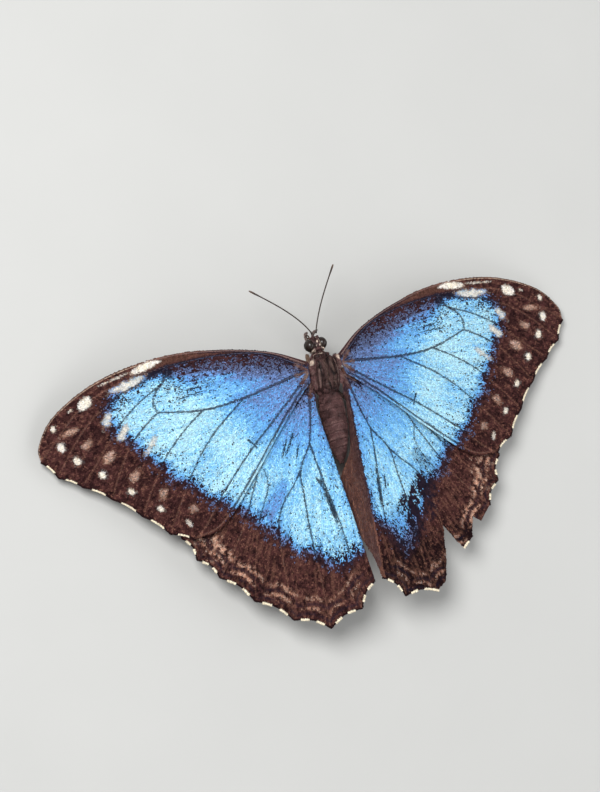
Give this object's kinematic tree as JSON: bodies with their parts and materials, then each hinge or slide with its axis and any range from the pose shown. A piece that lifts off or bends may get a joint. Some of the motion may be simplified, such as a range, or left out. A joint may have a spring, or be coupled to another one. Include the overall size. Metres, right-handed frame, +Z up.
{
  "type": "blue morpho butterfly",
  "caption": "Life-size blue morpho butterfly at rest, wings spread and slightly drooped, standing on its legs, with one torn hindwing.",
  "frame": {"origin": "middle of the bottom of the bounding box, on the plane that the feet stand on", "axes": "+X to the butterfly's left, -Y to its head, +Z up"},
  "size_m": [0.1387, 0.0834, 0.0185],
  "materials": {
    "wing": "satin iridescent blue scales above with dark brown borders and white spots, brown with ringed eyespots below",
    "coat": "short dark brown hair and scales",
    "palp_coat": "short tan and brown scales",
    "eye": "glossy dark brown facets",
    "horn": "satin dark brown cuticle with fine scales"
  },
  "bodies": {
    "root": {"head": "coat", "prothorax": "coat", "thorax": "coat", "abdomen": "coat", "eye_left": "eye", "eye_right": "eye", "antenna_left": "horn", "antenna_right": "horn", "palp_left": "palp_coat", "palp_right": "palp_coat", "proboscis": "horn", "foreleg_left": "palp_coat", "foreleg_right": "palp_coat", "midleg_left": "horn", "midleg_right": "horn", "hindleg_left": "horn", "hindleg_right": "horn", "forewing_left": "wing", "forewing_right": "wing", "hindwing_left": "wing", "hindwing_right": "wing"}
  },
  "joints": []
}
